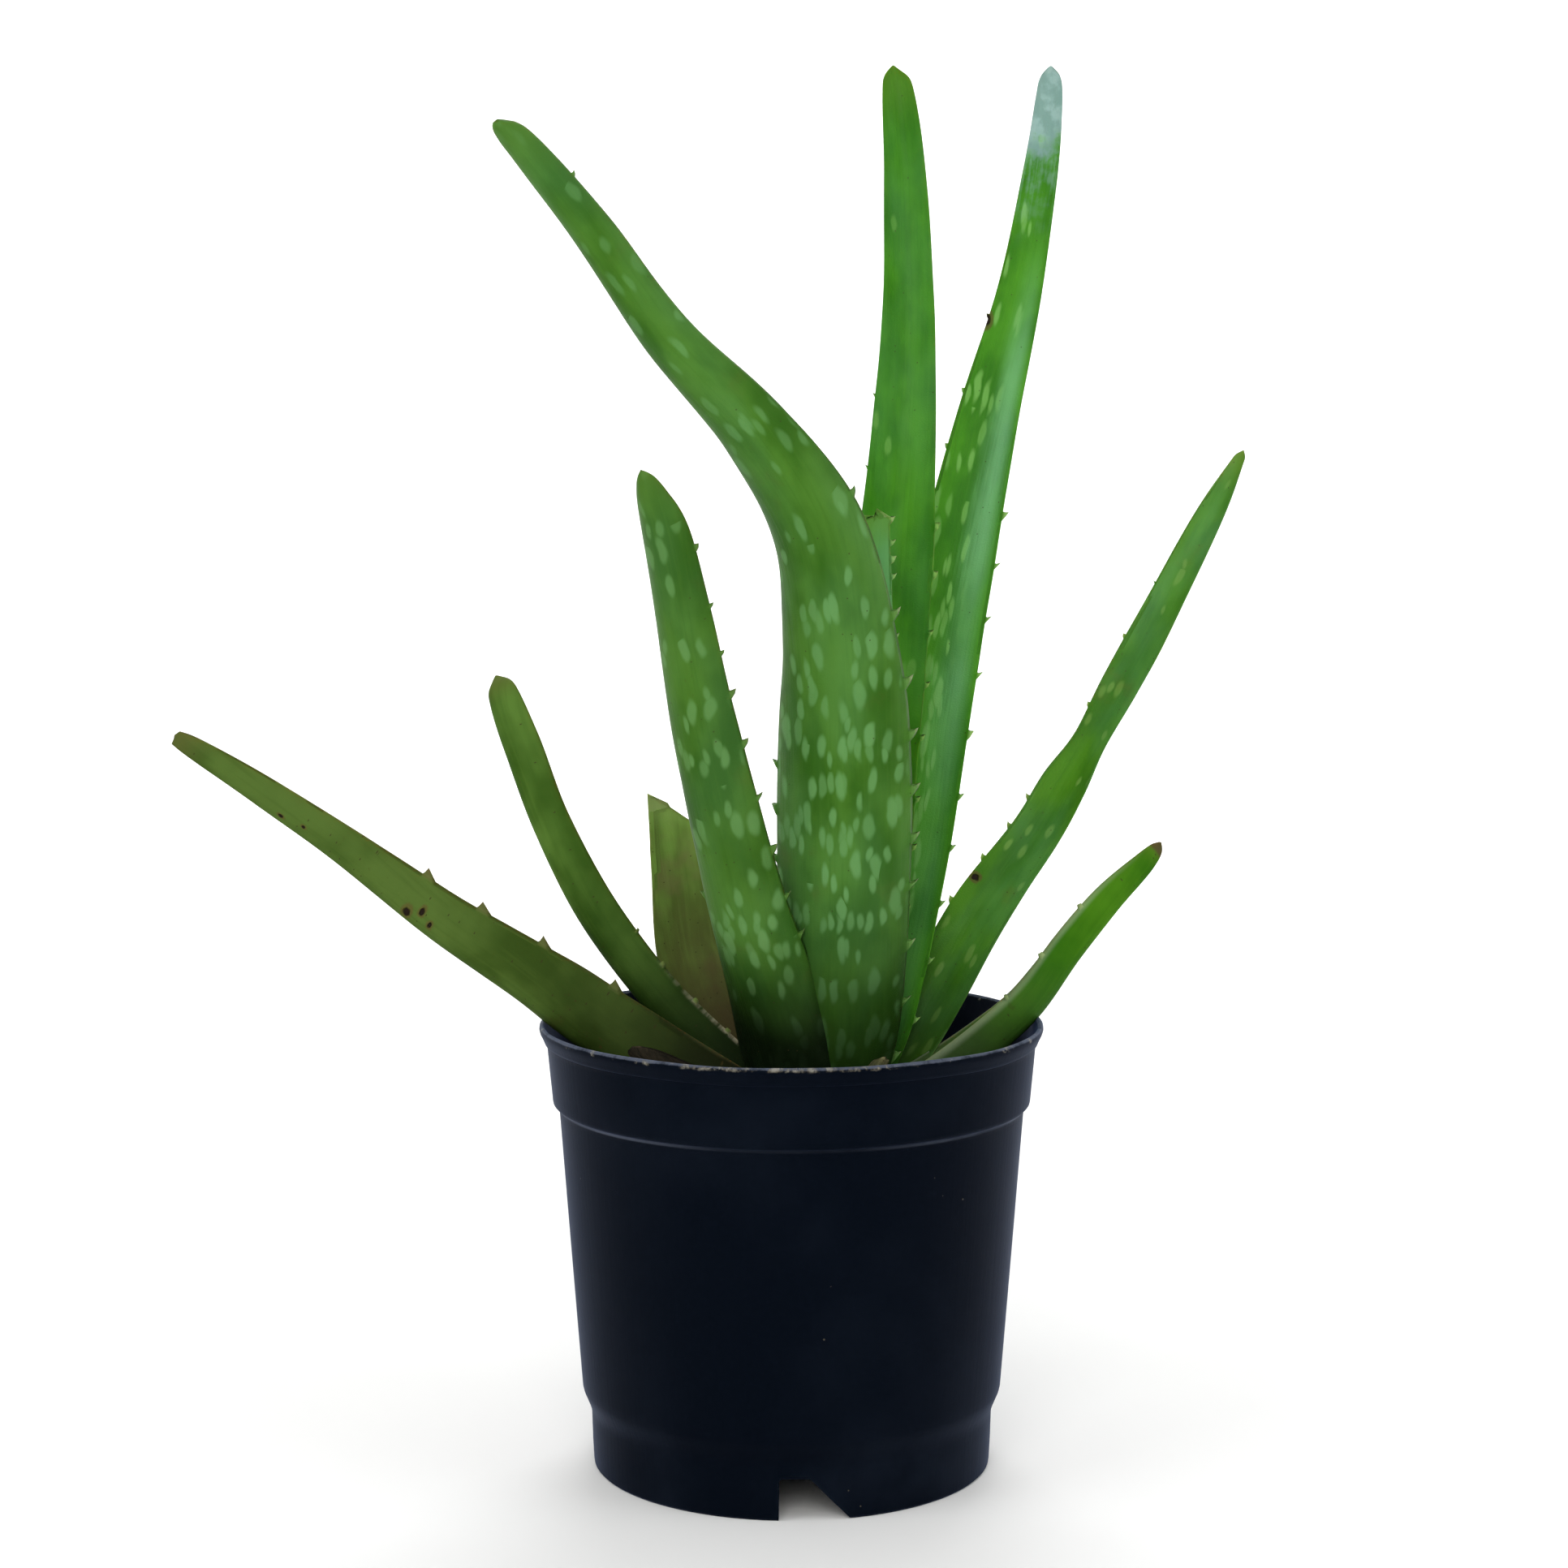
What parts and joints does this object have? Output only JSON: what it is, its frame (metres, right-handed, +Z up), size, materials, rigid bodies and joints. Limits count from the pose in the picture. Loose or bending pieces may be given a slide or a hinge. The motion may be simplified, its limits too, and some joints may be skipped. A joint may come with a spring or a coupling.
{
  "type": "potted aloe plant",
  "caption": "Young aloe with long tapering, spine-edged succulent leaves fanning out of a round black plastic nursery pot with a notched foot.",
  "frame": {"origin": "middle of the flat pad under the pot, on the surface that the pot stands on; the pot's axis is the Z axis", "axes": "+Z up, +X to the plant's right as seen from the front, +Y to the back"},
  "size_m": [0.2625, 0.12, 0.3371],
  "materials": {
    "pot_plastic": "satin blue-black moulded polypropylene, scuffed pale along the rim",
    "potting_mix": "damp dark brown peat and bark mix with a few pale grains",
    "stem_tissue": "matt yellowish-brown stem and fleshy roots",
    "leaf_green": "smooth waxy bright green leaf skin with pale elongated flecks",
    "leaf_spotted": "smooth waxy mid green leaf skin densely marked with pale oval flecks",
    "leaf_olive": "olive green older leaf skin tinged brown, with dark scars",
    "dry_leaf": "papery brown dried leaf sheath"
  },
  "bodies": {
    "root": {"pot": "pot_plastic", "potting_mix": "potting_mix", "stem_with_roots": "stem_tissue", "leaf_stub_centre": "leaf_green", "leaf_tall_centre": "leaf_green", "leaf_tall_bent": "leaf_spotted", "leaf_tall_right": "leaf_green", "leaf_right": "leaf_green", "leaf_front_left": "leaf_spotted", "leaf_left": "leaf_olive", "leaf_broken_left": "leaf_olive", "leaf_low_left": "leaf_olive", "leaf_low_right": "leaf_green", "dry_sheath_left": "dry_leaf", "dry_sheath_front": "dry_leaf"}
  },
  "joints": []
}
